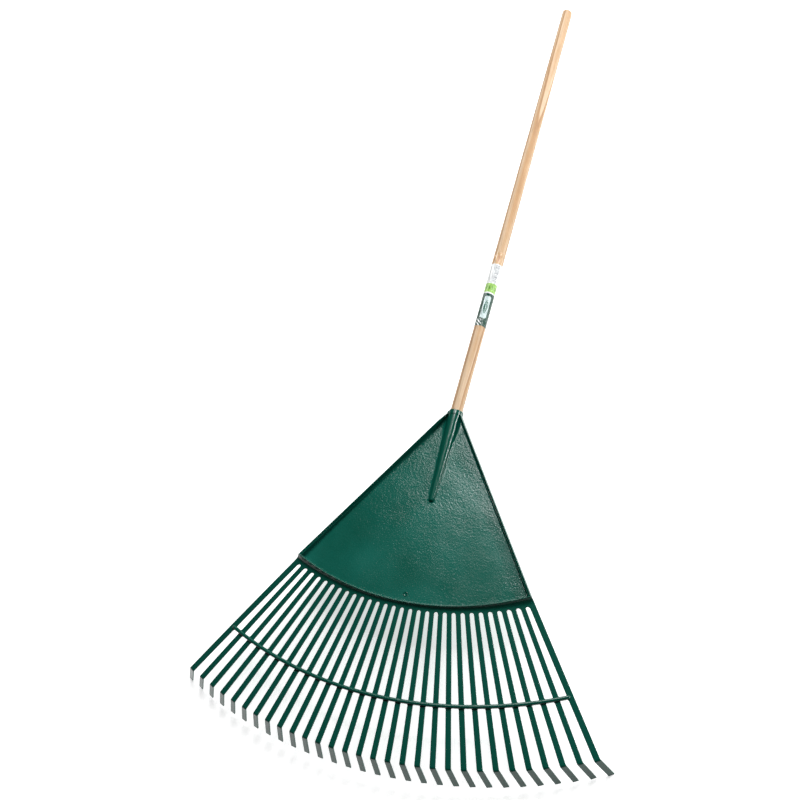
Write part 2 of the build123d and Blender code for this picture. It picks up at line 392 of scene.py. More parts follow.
def row_bow(y0):
    """Curvature of a row of the pan that crosses the centre line at y0."""
    crease = 1 / CREASE_RADIUS
    lip = 1 / LIP_ARC[0]
    if y0 > CREASE_Y:
        return crease * smooth(y0, BOW_START, CREASE_Y)
    return mix(crease, lip, smooth(y0, CREASE_Y, BOW_END))


def row_y(y0, x):
    """y of a point of a bowed row."""
    bow = row_bow(y0)
    if bow < 1e-6:
        return y0
    return y0 + (1 - math.sqrt(1 - (bow * x) ** 2)) / bow


def on_side(y0, inward):
    """Point of a pan row at a distance in from the flange's outer face, at +X."""
    x = side_x(y0)
    for _ in range(8):
        x = side_x(row_y(y0, x)) - inward / math.cos(PAN_SIDE_ANGLE)
    return x, row_y(y0, x)


def flange_section(height, width, cove):
    """(inward, up) points of the flange, from the pan's floor to the flange's outer face.
    Where the flange has no height they lie flat, evenly spaced."""
    top = FLANGE_TOP_WIDTH
    cove = min(cove, 0.6 * height, width - top - 0.5)
    wall_foot = width - max(cove, 0.25)
    soft = min(EDGE_ROUND, height / 3)
    points = []
    for k in range(1, 6):
        turn = math.radians(16 * k)
        points.append((wall_foot + cove * (1 - math.sin(turn)), cove * (1 - math.cos(turn))))
    points.append((top + 0.25, height - soft))
    points.append((top - 0.1, height - 0.3 * soft))
    points.append((top - soft, height))
    flat = 1 - smooth(height, 0.0, 3.0)
    for k, (inward, up) in enumerate(points):
        even = mix(width, EDGE_ROUND, (k + 1) / (len(points) + 1))
        points[k] = (mix(inward, even, flat), up)
    for depth in reversed(EDGE_STEPS):
        points.append((depth, height - edge_drop(depth)))
    return points


def lip_rise(x):
    """Height of the lip above the tines' tops."""
    return mix(LIP_RISE_CENTRE, LIP_RISE_CORNER, (x / corner_x) ** 2)


def crease_height(y0):
    """The pan's faint step, where two parts of the mould meet, and the slow way back."""
    back = smooth(y0, CREASE_Y - 7, CREASE_FADED)
    return CREASE_STEP * (back - smooth(y0, CREASE_Y + 1.5, CREASE_Y - 1.5))


def column_x(y0, share, edge_x):
    """x of a column at a share of the way from the centre line to the flange.  Near the
    socket the columns hug the boss; lower down each one fans out to its place in a tine."""
    radius = boss_radius(from_mouth(y0))
    boss_share = BOSS_COLUMNS / HALF_COLUMNS
    foot = min(boss_foot(radius), 0.6 * edge_x)
    if share < boss_share:
        held = boss_column(share / boss_share, radius) * foot / boss_foot(radius)
    else:
        held = mix(foot, edge_x, (share - boss_share) / (1 - boss_share))
    angle = share * LAST_ANGLE
    lip_x = reach_to(LIP_ARC, angle) * math.sin(angle)
    fanned = edge_x * lip_x / (reach_to(LIP_ARC, LAST_ANGLE) * math.sin(LAST_ANGLE))
    return mix(held, fanned, smooth(y0, COLUMNS_FAN_FROM, COLUMNS_FAN_TO))


def pan_row(sheet, y0, inner_rise=0.0):
    """One row of the pan, from its -X flange to its +X flange.  inner_rise is how far the
    row has climbed up the inside of the lip, from 0 on the floor to 1 at the lip's edge."""
    width = flange_width(y0)
    edge_x, edge_y = on_side(y0, width)
    half = []

    def height_at(x, y):
        floor = floor_height(x, y) + crease_height(y0)
        raised = mix(floor, lip_rise(x) - cup_drop(x), inner_rise)
        return max(raised, plane_height(y) + boss_height(x, y) - cup_drop(x))

    def under(x, y):
        below = mix(floor_height(x, y) - SHEET, -TINE_THICKNESS - cup_drop(x), inner_rise)
        return min(below, plane_height(y) - boss_height(x, y, SHEET))

    for column in range(HALF_COLUMNS + 1):
        x = column_x(y0, column / HALF_COLUMNS, edge_x)
        y = row_y(y0, x)
        grain = (1 - inner_rise) * smooth(boss_height(x, y), 0.7, 0.1)
        grain *= mix(1.0, GRAIN_AT_LIP, smooth(y0, GRAIN_FADE_FROM, GRAIN_FADE_TO))
        half.append(((x, y, height_at(x, y)), (x, y, under(x, y)), grain))
    height = mix(flange_top(edge_y) - floor_height(edge_x, edge_y), 0.0, inner_rise)
    cove = mix(COVE_AT_NECK, COVE_AT_CORNER, smooth(y0, NECK_FOOT, corner_y))
    for inward, up in flange_section(max(0.0, height), width, cove):
        x, y = on_side(y0, inward)
        top = mix(floor_height(x, y), lip_rise(x) - cup_drop(x), inner_rise) + up
        top = max(top, plane_height(y) + boss_height(x, y))
        low = under(x, y) + edge_drop(inward)
        half.append(((x, y, top), (x, y, low), 0.0))
    return mirrored_row(sheet, half)


def mirrored_row(sheet, half):
    """Adds a row's -X half, mirrored, and its +X half; the first point is the middle."""
    left = [
        sheet.add((-up[0], up[1], up[2]), (-low[0], low[1], low[2]), grain)
        for up, low, grain in reversed(half[1:])
    ]
    return left + [sheet.add(up, low, grain) for up, low, grain in half]


def base_row(sheet, share):
    """One row between the lip's arc (0) and the last row before the slots (1)."""
    half = []
    down_wall = min(1.0, max(0.0, share - LIP_EDGE) / (LIP_FOOT - LIP_EDGE))
    rise = (1 - down_wall) ** LIP_CURVE if share > LIP_EDGE / 2 else LIP_CREST

    def point(angle, aside, extra):
        inner = reach_to(LIP_ARC, angle)
        outer = reach_to(ROOT_ARC, angle) - SLOT_SETBACK
        x, y = fan_point(angle, mix(inner, outer, share), aside)
        tine_level = -cup_drop(x)
        top = tine_level + lip_rise(x) * rise + extra
        low = tine_level - TINE_THICKNESS
        return x, y, top, low

    for column in range(HALF_COLUMNS + 1):
        x, y, top, low = point(LAST_ANGLE * column / HALF_COLUMNS, 0.0, 0.0)
        half.append(((x, y, top), (x, y, low), 0.0))
    for inward, up in flange_section(0.0, OUTER_TINE_WIDTH / 2, 0.0):
        aside = OUTER_TINE_WIDTH / 2 - inward
        x, y, top, low = point(LAST_ANGLE, aside, up)
        half.append(((x, y, top), (x, y, low + edge_drop(inward)), 0.0))
    return mirrored_row(sheet, half)


def pan_rows(sheet):
    """All rows from the collar to the roots of the tines, closer together where the shape
    turns: at the neck, round the nose of the boss, at the crease and over the lip."""
    start = MOUTH_AHEAD - GRID_START * math.cos(HANDLE_SLOPE)
    stations = [start, 2.5, 0, -3, -6, -10, -14, -19, -25, -32, -40]
    stations += [-40 - 10 * k for k in range(1, 13)]
    nose = MOUTH_AHEAD - NOSE_FROM_MOUTH * math.cos(HANDLE_SLOPE)
    nose_reach = SOCKET_NOSE_DIAMETER / 2 + BOSS_FILLET
    stations += [nose + 4]
    stations += [nose - nose_reach * math.sin(math.radians(a)) for a in range(0, 91, 6)]
    stations += [COLUMNS_FAN_FROM, -192, -200, -210, -220, -228, -234]
    stations += [CREASE_Y + offset for offset in (1.5, 0.5, -0.5, -1.5, -4)]
    stations += [-250 - 12 * k for k in range(9)]
    stations += [-355, -362]
    rows = [pan_row(sheet, y0) for y0 in stations]
    lip = -(LIP_ARC[0] - LIP_ARC[1])
    for inside, risen in LIP_INSIDE:
        rows.append(pan_row(sheet, lip + inside, risen))
    for share in (0.0, 0.05, 0.08, 0.12, 0.18, 0.26, 0.36, 0.48, 0.6, 0.74, 0.88, 1.0):
        rows.append(base_row(sheet, share))
    for first, second in zip(rows, rows[1:]):
        sheet.strip(first, second)
    return rows[-1]


# ---- tines

HOOK_BEND_RADIUS = 5.0
BEND_STEPS = 6
BAR_FILLET = 1.6
BAR_CLEAR = 4.5


def tine_half_width(index, reach):
    """Half the width of a tine, at a distance from the apex."""
    if index in (0, TINE_COUNT - 1):
        return OUTER_TINE_WIDTH / 2
    root = reach_to(ROOT_ARC, tine_angle(index))
    share = (reach - root) / (reach_to(KNEE_ARC, tine_angle(index)) - root)
    return mix(TINE_ROOT_WIDTH, TINE_KNEE_WIDTH, min(1.0, share)) / 2


def on_tine(angle, reach):
    """The middle of a tine's top face."""
    x, y = fan_point(angle, reach)
    return Vector((x, y, -cup_drop(x)))


def aside_of(angle, x):
    """The way across a tine, to its +X side, on the cupped face."""
    return Vector((math.cos(angle), math.sin(angle), -x * math.cos(angle) / CUP_RADIUS)).normalized()


def through_tine(side, way):
    """From a tine's upper face to its lower one."""
    return side.cross(way).normalized() * TINE_THICKNESS


def straight_stations(index, end_reach):
    """Stations of a tine from its root to its bend, closer together under the crossbar,
    where the tine flares into a small fillet."""
    angle = tine_angle(index)
    root = reach_to(ROOT_ARC, angle)
    bar = reach_to(BAR_ARC, angle)
    bar_end = bar + BAR_WIDTH
    bar_start_row, bar_end_row = bar - BAR_CLEAR, bar_end + BAR_CLEAR
    first_row, last_row = root + 18, reach_to(KNEE_ARC, angle) - 12
    reaches = [root + 4, root + 10, first_row]
    reaches += [mix(first_row, bar_start_row, k / 5) for k in range(1, 6)]
    reaches += [bar - BAR_FILLET, bar - 0.35 * BAR_FILLET, bar]
    reaches += [bar_end, bar_end + 0.35 * BAR_FILLET, bar_end + BAR_FILLET, bar_end_row]
    reaches += [mix(bar_end_row, last_row, k / 5) for k in range(1, 6)]
    reaches += [end_reach]
    stations = []
    for reach in reaches:
        point = on_tine(angle, reach)
        way = (on_tine(angle, reach + 1) - on_tine(angle, reach - 1)).normalized()
        side = aside_of(angle, point.x)
        off_bar = max(bar - reach, reach - bar_end, 0.0)
        flare = max(0.0, 1 - off_bar / BAR_FILLET) ** 2
        half = tine_half_width(index, reach) + 0.6 * BAR_FILLET * flare
        stations.append((point, side, through_tine(side, way), half, HOOK_DROP))
    return stations


def tine_stations(index):
    """Stations of a tine: (middle of its top, its +X side, the way through it, half width,
    distance from the tip)."""
    angle = tine_angle(index)
    knee = reach_to(KNEE_ARC, angle)
    corner = on_tine(angle, knee)
    spread = HOOK_SPREAD * math.degrees(angle) / FAN_HALF_ANGLE
    hook = Vector((*fan_point(angle, HOOK_REACH, spread), -HOOK_DROP))
    hook_way = hook.normalized()
    tine_way = (corner - on_tine(angle, knee - 20)).normalized()
    bend = math.acos(tine_way.dot(hook_way))
    setback = HOOK_BEND_RADIUS * math.tan(bend / 2)
    stations = straight_stations(index, knee - setback)

    end_half = tine_half_width(index, knee)
    level = Vector((math.cos(angle), math.sin(angle), 0))
    side_here = aside_of(angle, corner.x)
    first, last = corner - tine_way * setback, corner + hook_way * setback
    for k in range(1, BEND_STEPS + 1):
        t = k / BEND_STEPS
        a, b, c = (1 - t) ** 2, 2 * t * (1 - t) * math.cos(bend / 2), t**2
        point = (first * a + corner * b + last * c) / (a + b + c)
        side = side_here.lerp(level, t).normalized()
        through = through_tine(side, tine_way.slerp(hook_way, t))
        stations.append((point, side, through, end_half, HOOK_DROP))

    # The tip is cut level, so the way through the hook turns level towards it.
    tip = corner + hook
    square = through_tine(level, hook_way)
    lengthwise = hook_way * (-square.z / hook_way.z)
    length = (tip - last).length
    for from_tip in (0.7 * length, 0.35 * length, *reversed(EDGE_STEPS)):
        through = square + lengthwise * (1 - from_tip / length)
        stations.append((tip - hook_way * from_tip, level, through, end_half, from_tip))
    return stations


def tine_section(point, side, through, half, from_tip):
    """A function that gives the upper and lower points of a tine at one of its stations."""

    def at(aside, depth):
        """aside is the distance to the +X side of the middle, depth that from the edge."""
        drop = max(edge_drop(depth), edge_drop(from_tip)) / TINE_THICKNESS
        spot = point + side * aside
        return spot + through * drop, spot + through * (1 - drop)

    at.half = half
    return at


def tines(sheet, last_row):
    """The thirty tines, with a rounded end to each slot between them."""
    centres = [last_row[FLANGE_STEPS + COLUMNS_PER_TINE * i] for i in range(TINE_COUNT)]
    sections = [[tine_section(*each) for each in tine_stations(i)] for i in range(TINE_COUNT)]
    spines = []
    for i, base in enumerate(centres):
        base_point = Vector(sheet.upper[base])
        low_point = Vector(sheet.lower[base])
        root_upper, root_lower = sections[i][0](0.0, EDGE_ROUND)
        shoulder = sheet.add(base_point.lerp(root_upper, 0.5), low_point.lerp(root_lower, 0.5))
        spine = [base, shoulder]
        spine += [sheet.add(*at(0.0, at.half)) for at in sections[i]]
        spines.append(spine)
    for j in range(TINE_COUNT - 1):
        slot(sheet, j, sections, spines, last_row)
    outer_edge(sheet, sections[0], spines[0], last_row[: FLANGE_STEPS + 1][::-1], -1)
    outer_edge(sheet, sections[-1], spines[-1], last_row[-FLANGE_STEPS - 1 :], 1)


def slot(sheet, j, sections, spines, last_row):
    """The loops of faces round the slot between tine j and the next one."""
    middle = (tine_angle(j) + tine_angle(j + 1)) / 2
    base_start = FLANGE_STEPS + COLUMNS_PER_TINE * j
    tops = last_row[base_start + 1 : base_start + COLUMNS_PER_TINE]
    around = [spines[j][1], spines[j][0], *tops, spines[j + 1][0], spines[j + 1][1]]
    outside = spines[j][:1:-1] + around + spines[j + 1][2:]
    left_end = Vector(sections[j][0](sections[j][0].half, 0.0)[0])
    right_end = Vector(sections[j + 1][0](-sections[j + 1][0].half, 0.0)[0])
    radius = (right_end - left_end).length / 2
    centre = (left_end + right_end) / 2
    across = (right_end - left_end).normalized()
    back_x, back_y = fan_point(middle, -1.0)
    back = Vector((back_x, back_y, 0))
    turns = [math.pi * k / (len(around) + 1) for k in range(1, len(around) + 1)]
    inner = outside
    for depth in reversed(EDGE_STEPS):
        loop = []
        for at in reversed(sections[j]):
            loop.append(sheet.add(*at(at.half - depth, depth)))
        for turn in turns:
            way = across * -math.cos(turn) + back * math.sin(turn)
            x, y, _ = centre + way * (radius + depth)
            top = -cup_drop(x) - edge_drop(depth)
            low = -cup_drop(x) - TINE_THICKNESS + edge_drop(depth)
            loop.append(sheet.add((x, y, top), (x, y, low)))
        for at in sections[j + 1]:
            loop.append(sheet.add(*at(depth - at.half, depth)))
        sheet.strip(inner, loop)
        inner = loop


def outer_edge(sheet, sections, spine, base, side):
    """The outer half of an outermost tine, in line with the flange above it."""
    half = OUTER_TINE_WIDTH / 2
    insets = [inward for inward, _ in flange_section(0.0, half, 0.0)]
    tine_rows = []
    for at, middle in zip(sections, spine[2:]):
        row = [middle]
        for inset in insets:
            row.append(sheet.add(*at(side * (half - inset), inset)))
        tine_rows.append(row)
    shoulder = [spine[1]]
    for above, below in zip(base[1:], tine_rows[0][1:]):
        upper = Vector(sheet.upper[above]).lerp(Vector(sheet.upper[below]), 0.5)
        lower = Vector(sheet.lower[above]).lerp(Vector(sheet.lower[below]), 0.5)
        shoulder.append(sheet.add(upper, lower))
    rows = [base, shoulder] + tine_rows
    if side < 0:
        rows.reverse()
    for first_row, second_row in zip(rows, rows[1:]):
        sheet.strip(first_row, second_row)


# ---- crossbar, collar and gate mark

BAR_SHOULDER = 0.9
BAR_BEVEL_TOP = -2.6
BAR_BOTTOM = -2.95
BAR_BEVEL = 0.4
BAR_END_SINK = 0.6
BAR_END_OVERLAP = 1.5
BAR_STEPS = 6 * TINE_COUNT
BAR_TIP_STEPS = 5


def bar_profile():
    """(outward, up) points round the crossbar: a soft crown, and a bevelled bottom."""
    profile = [(0.0, BAR_BEVEL_TOP), (0.0, BAR_SHOULDER)]
    for degrees in range(170, 9, -16):
        turn = math.radians(degrees)
        up = mix(BAR_SHOULDER, BAR_RISE, math.sin(turn) ** 0.85)
        profile.append((BAR_WIDTH / 2 * (1 + math.cos(turn)), up))
    profile += [(BAR_WIDTH, BAR_SHOULDER), (BAR_WIDTH, BAR_BEVEL_TOP)]
    return profile + [(BAR_WIDTH - BAR_BEVEL, BAR_BOTTOM), (BAR_BEVEL, BAR_BOTTOM)]


def crossbar(shell):
    """The arc-shaped rib that ties the tines together, with rounded ends."""
    profile = bar_profile()
    end_aside = BAR_END_OVERLAP - OUTER_TINE_WIDTH / 2
    end_x, _ = fan_point(LAST_ANGLE, reach_to(BAR_ARC, LAST_ANGLE), end_aside)
    end = math.asin(end_x / BAR_ARC[0])
    shares = [k / BAR_STEPS for k in range(-BAR_STEPS, BAR_STEPS + 1, 2)]
    quarters = [math.pi / 2 * k / BAR_TIP_STEPS for k in range(1, BAR_TIP_STEPS)]
    tips = [1 + BAR_RISE / end_x * math.sin(quarter) for quarter in quarters]
    rings = []
    for share in [-tip for tip in reversed(tips)] + shares + tips:
        beyond = max(0.0, abs(share) - 1) * end_x / BAR_RISE
        crown = math.sqrt(1 - beyond**2)
        ring = []
        for outward, up in profile:
            radius = BAR_ARC[0] + mix(BAR_WIDTH / 2, outward, crown)
            x = radius * math.sin(end * share)
            y = BAR_ARC[1] - radius * math.cos(end * share)
            top = mix(-BAR_END_SINK, up, crown) if up > 0 else up
            ring.append(shell.add((x, y, top - cup_drop(x))))
        rings.append(ring)
    shell.skin(rings)


def in_head(x, y, z):
    """A point drawn from the mouth along the handle's axis, in the head's directions."""
    s, c = math.sin(HANDLE_SLOPE), math.cos(HANDLE_SLOPE)
    return (x, MOUTH_AHEAD + y * c + z * s, -MOUTH_BELOW - y * s + z * c)


COLLAR_ROUND = 1.1
COLLAR_GAP = 0.1


def collar(shell):
    """The raised ring round the mouth of the socket."""
    bore = HANDLE_DIAMETER / 2 + COLLAR_GAP
    outer = COLLAR_DIAMETER / 2
    foot = COLLAR_TOP - COLLAR_LENGTH
    profile = [(foot, outer - 0.8), (foot + 0.3, outer - 0.2), (foot + 0.9, outer)]
    for degrees in range(90, -1, -15):
        turn = math.radians(degrees)
        along_edge = COLLAR_TOP - COLLAR_ROUND * (1 - math.cos(turn))
        profile.append((along_edge, outer - COLLAR_ROUND * (1 - math.sin(turn))))
    profile += [(COLLAR_TOP, bore + 0.8), (COLLAR_TOP - 0.3, bore + 0.25)]
    profile += [(COLLAR_TOP - 0.9, bore), (foot, bore)]
    shell.lathe(profile, in_head, steps=72, closed=True)


GATE_Y = -356.8
GATE_RADIUS = 4.9


def gate_mark(shell):
    """The small raised ring with a dimple in it, where the plastic was fed in."""
    base = floor_height(0, GATE_Y)
    profile = [(-0.6, GATE_RADIUS), (0.2, 4.7), (0.7, 4.2), (0.95, 3.6)]
    profile += [(0.8, 3.0), (0.2, 2.5), (0.06, 1.6), (0.05, 0.4)]

    def place(x, up, z):
        return (x, GATE_Y - z, base + up)

    shell.lathe(profile, place, steps=32)


# ---- materials


class Paint:
    """A node material being built."""

    def __init__(self, name):
        self.material = bpy.data.materials.new(name)
        self.material.use_nodes = True
        self.nodes = self.material.node_tree.nodes
        self.links = self.material.node_tree.links
        self.shader = self.nodes["Principled BSDF"]

    def node(self, kind, inputs=None, **settings):
        """A new node; inputs are other nodes' outputs or plain values, by socket."""
        made = self.nodes.new("ShaderNode" + kind)
        for key, value in settings.items():
            setattr(made, key, value)
        for key, value in (inputs or {}).items():
            socket = made.inputs[key]
            if isinstance(value, bpy.types.NodeSocket):
                self.links.new(value, socket)
            else:
                socket.default_value = value
        return made

    def link(self, output, name):
        """Joins an output to one of the shader's inputs."""
        self.links.new(output, self.shader.inputs[name])

    def math(self, operation, *values):
        """The result of a math node."""
        return self.node("Math", dict(enumerate(values)), operation=operation).outputs["Value"]

    def times(self, product, *values):
        """The product of values."""
        for value in values:
            product = self.math("MULTIPLY", product, value)
        return product

    def noise(self, coords, scale, detail=2.0, distortion=0.0):
        """Smooth noise between 0 and 1."""
        settings = {"Vector": coords, "Scale": scale, "Detail": detail, "Distortion": distortion}
        return self.node("TexNoise", settings).outputs["Fac"]

    def streaks(self, coords, across, lengthwise, detail=2.0):
        """Noise with one scale across the handle and another along it."""
        mapping = self.node("Mapping", {"Vector": coords, "Scale": (across, lengthwise, across)})
        return self.noise(mapping.outputs["Vector"], 1.0, detail)

    def between(self, value, low, high):
        """1 where a value is between two limits, 0 elsewhere."""
        above = self.math("GREATER_THAN", value, low)
        below = self.math("LESS_THAN", value, high)
        return self.times(above, below)

    def rounded_box(self, across, along_axis, half_width, half_length, corner):
        """1 inside a box with rounded corners, 0 outside."""
        beyond = []
        for value, half in ((across, half_width), (along_axis, half_length)):
            off = self.math("SUBTRACT", self.math("ABSOLUTE", value), half - corner)
            beyond.append(self.math("POWER", self.math("MAXIMUM", off, 0.0), 2.0))
        return self.math("LESS_THAN", self.math("ADD", *beyond), corner**2)

    def layer(self, under, over, share):
        """A colour laid over another one."""
        mixed = self.node("MixRGB", {"Fac": share, "Color1": under, "Color2": over})
        return mixed.outputs["Color"]

    def ramp(self, factor, stops):
        """A colour ramp with stops of (place, colour)."""
        made = self.node("ValToRGB", {"Fac": factor})
        elements = made.color_ramp.elements
        while len(elements) < len(stops):
            elements.new(0.5)
        for element, (place, colour) in zip(elements, stops):
            element.position = place
            element.color = (*colour, 1)
        return made.outputs["Color"]

    def grey_ramp(self, factor, stops):
        """A ramp with stops of (place, brightness)."""
        return self.ramp(factor, [(place, (grey, grey, grey)) for place, grey in stops])

    def bump(self, height, strength, distance, normal=None):
        """A normal bent by a height, on top of another normal if there is one."""
        made = self.node("Bump", {"Height": height, "Strength": strength, "Distance": distance})
        if normal is not None:
            self.links.new(normal, made.inputs["Normal"])
        return made.outputs["Normal"]


def head_plastic():
    """Dark green semi-gloss plastic, with a leathery grain moulded into the pan."""
    paint = Paint("head_plastic")
    coords = paint.node("TexCoord").outputs["Object"]
    grain = paint.node("Attribute", attribute_name="grain").outputs["Fac"]

    # Colour: cloudy and faintly speckled, and a little darker where there is no grain.
    cloud = paint.noise(coords, 9.0, detail=3.0)
    speckle = paint.noise(coords, 900.0)
    tint = paint.math("MULTIPLY_ADD", speckle, 0.35, paint.times(cloud, 0.65))
    colour = paint.ramp(tint, [(0.35, (0.001, 0.074, 0.05)), (0.62, (0.006, 0.114, 0.085))])
    polished = paint.math("MAXIMUM", paint.math("MULTIPLY_ADD", grain, -2.5, 1.0), 0.0)
    colour = paint.layer(colour, (0.001, 0.066, 0.044, 1), paint.times(polished, 0.8))
    paint.link(colour, "Base Color")

    # Gloss, dulled in patches by handling.
    smudge = paint.noise(coords, 30.0, detail=4.0)
    paint.link(paint.math("MULTIPLY_ADD", smudge, 0.1, 0.15), "Roughness")

    # Relief: slight unevenness all over, then ripples, billows and leather on the pan.
    unevenness = paint.noise(coords, 60.0)
    ripple = paint.noise(coords, 26.0)
    billow = paint.noise(coords, 8.0)
    leather = paint.noise(coords, 240.0, detail=3.0, distortion=0.9)
    creases = paint.node("TexVoronoi", {"Vector": coords, "Scale": 330.0}).outputs["Distance"]
    relief = paint.math("MULTIPLY_ADD", creases, 0.35, leather)
    patchy = paint.math("MULTIPLY_ADD", paint.noise(coords, 11.0), 1.1, 0.1)
    normal = paint.bump(unevenness, 0.1, 0.0004)
    normal = paint.bump(ripple, paint.times(grain, 0.5), 0.0012, normal)
    normal = paint.bump(billow, paint.times(grain, 0.7), 0.005, normal)
    normal = paint.bump(relief, paint.times(grain, patchy), 0.0007, normal)
    paint.link(normal, "Normal")
    return paint.material


def wood_colour(paint, coords):
    """Pale straight grain, from growth rings whose middle leans past the handle's axis."""
    place = paint.node("SeparateXYZ", {"Vector": coords})
    x, y, z = (place.outputs[axis] for axis in "XYZ")
    sway = paint.streaks(coords, 0.022, 0.0035)
    lean = paint.math("MULTIPLY_ADD", y, 0.016, paint.times(sway, 9.0))
    from_pith = paint.node(
        "CombineXYZ", {"X": paint.math("ADD", x, lean), "Y": paint.math("ADD", z, 21.0)}
    ).outputs["Vector"]
    radius = paint.node("VectorMath", {0: from_pith}, operation="LENGTH").outputs["Value"]
    ring = paint.math("FRACT", paint.math("DIVIDE", radius, 4.6))
    late = paint.grey_ramp(ring, [(0.0, 0.0), (0.62, 0.55), (0.9, 1.0), (1.0, 0.0)])
    fibre = paint.streaks(coords, 1.3, 0.012, detail=3.0)
    blotch = paint.streaks(coords, 0.05, 0.006)
    shade = paint.math("MULTIPLY_ADD", late, 0.5, paint.times(fibre, 0.5))
    shade = paint.math("MULTIPLY_ADD", blotch, 0.35, paint.math("SUBTRACT", shade, 0.14))
    stops = [(0.2, (0.7, 0.54, 0.37)), (0.4, (0.61, 0.42, 0.25))]
    stops += [(0.56, (0.5, 0.285, 0.125)), (0.78, (0.36, 0.185, 0.075))]
    return paint.ramp(shade, stops)


def handle_wood():
    """Pale ash-like wood under a thin satin varnish."""
    paint = Paint("handle_wood")
    coords = paint.node("TexCoord").outputs["Object"]
    paint.link(wood_colour(paint, coords), "Base Color")
    pores = paint.streaks(coords, 3.4, 0.05)
    paint.link(paint.math("MULTIPLY_ADD", pores, 0.2, 0.38), "Roughness")
    paint.link(paint.bump(pores, 0.35, 0.12), "Normal")
    paint.shader.inputs["Coat Weight"].default_value = 0.25
    paint.shader.inputs["Coat Roughness"].default_value = 0.3
    return paint.material


def steel():
    """Zinc-plated steel, slightly brushed and dulled."""
    paint = Paint("screw_steel")
    coords = paint.node("TexCoord").outputs["Object"]
    stain = paint.noise(coords, 0.9, detail=4.0)
    colour = paint.ramp(stain, [(0.3, (0.34, 0.34, 0.36)), (0.7, (0.6, 0.6, 0.58))])
    paint.link(colour, "Base Color")
    paint.link(paint.math("MULTIPLY_ADD", stain, 0.3, 0.2), "Roughness")
    paint.link(paint.bump(paint.noise(coords, 6.0, detail=3.0), 0.3, 0.02), "Normal")
    paint.shader.inputs["Metallic"].default_value = 1.0
    return paint.material


# ---- the printed wrap: bands along the handle, as y in mm from the mouth
# "across" is the distance round the film, in mm, from the middle of the side that is read.

FILM_RADIUS = 11.4
PRINT_TOP = 321.0
PRINT_BARS = (278.0, 319.0)
FAINT_MARK = (325.0, 340.0)
GREEN_BAND = (256.0, 276.0)
GREEN_MARKS = (262.0, 270.0)
MARK_PITCH = 6.0
PANEL_TOP = 253.0
PANEL_FACE = math.radians(20)
STRIPES_TOP = 195.0
STRIPE_PITCH = 7.0
BOX_MIDDLE = 222.0
BOX_HALF_LENGTH = 25.0
BOX_HALF_WIDTH = 6.6
BOX_CORNER = 4.0
LEAF_HALF_LENGTH = 17.0
LEAF_HALF_WIDTH = 4.2
LEAF_VEIN_PITCH = 4.5
WHITE_INK = (0.78, 0.8, 0.8, 1)
GREY_INK = (0.3, 0.32, 0.34, 1)
RED_INK = (0.55, 0.18, 0.2, 1)
LIGHT_GREEN_INK = (0.28, 0.52, 0.1, 1)
MID_GREEN_INK = (0.08, 0.24, 0.04, 1)
DARK_GREEN_INK = (0.006, 0.055, 0.035, 1)
PALE_BLUE_INK = (0.55, 0.66, 0.66, 1)
LEAF_INK = (0.02, 0.12, 0.08, 1)


def faint_mark(paint, colour, coords, y, across):
    """A small formless reddish mark on the clear film."""
    mist = paint.streaks(coords, 0.9, 0.25)
    mist = paint.grey_ramp(mist, [(0.5, 0.0), (0.62, 1.0)])
    patch = paint.times(paint.between(y, *FAINT_MARK), paint.between(across, -2.5, 2.5))
    return paint.layer(colour, RED_INK, paint.times(patch, mist, 0.5))


def print_bars(paint, colour, coords, y, across):
    """Grey bars of uneven width on one side, and faint even lines on the other."""
    rows = paint.between(y, *PRINT_BARS)
    widths = paint.streaks(coords, 0.0, 0.55, detail=3.0)
    bars = paint.grey_ramp(widths, [(0.48, 0.0), (0.5, 1.0)])
    bars = paint.times(bars, rows, paint.between(across, -1.0, 7.5))
    colour = paint.layer(colour, GREY_INK, bars)
    lines = paint.math("GREATER_THAN", paint.math("FRACT", paint.times(across, 0.7)), 0.5)
    lines = paint.times(lines, rows, paint.between(across, -9.0, -2.5), 0.35)
    return paint.layer(colour, GREY_INK, lines)


def green_band(paint, colour, y, across):
    """A light green band with a row of darker marks."""
    colour = paint.layer(colour, LIGHT_GREEN_INK, paint.between(y, *GREEN_BAND))
    cell = paint.math("FRACT", paint.math("DIVIDE", across, MARK_PITCH))
    marks = paint.times(paint.between(cell, 0.3, 0.7), paint.between(y, *GREEN_MARKS), 0.8)
    return paint.layer(colour, MID_GREEN_INK, marks)


def leaf_box(paint, colour, y, across):
    """A pale box with rounded corners, and a veined leaf in it."""
    from_box = paint.math("SUBTRACT", y, BOX_MIDDLE)
    box = paint.rounded_box(across, from_box, BOX_HALF_WIDTH, BOX_HALF_LENGTH, BOX_CORNER)
    colour = paint.layer(colour, PALE_BLUE_INK, box)
    bow = paint.math("POWER", paint.math("DIVIDE", from_box, LEAF_HALF_LENGTH), 2.0)
    leaf_half = paint.times(paint.math("SUBTRACT", 1.0, bow), LEAF_HALF_WIDTH)
    off_middle = paint.math("ABSOLUTE", across)
    leaf = paint.math("LESS_THAN", off_middle, leaf_half)
    off_vein = paint.math("GREATER_THAN", off_middle, 0.45)
    slant = paint.math("DIVIDE", paint.math("ADD", from_box, off_middle), LEAF_VEIN_PITCH)
    off_side_vein = paint.math("GREATER_THAN", paint.math("FRACT", slant), 0.14)
    return paint.layer(colour, LEAF_INK, paint.times(leaf, off_vein, off_side_vein))


def corner_stripes(paint, colour, y, across):
    """White diagonal stripes at one foot of the dark panel."""
    slope = paint.math("FRACT", paint.math("DIVIDE", paint.math("ADD", y, across), STRIPE_PITCH))
    corner = paint.times(paint.between(y, 0.0, STRIPES_TOP), paint.between(across, -11.0, -1.0))
    return paint.layer(colour, WHITE_INK, paint.times(paint.between(slope, 0.0, 0.42), corner))


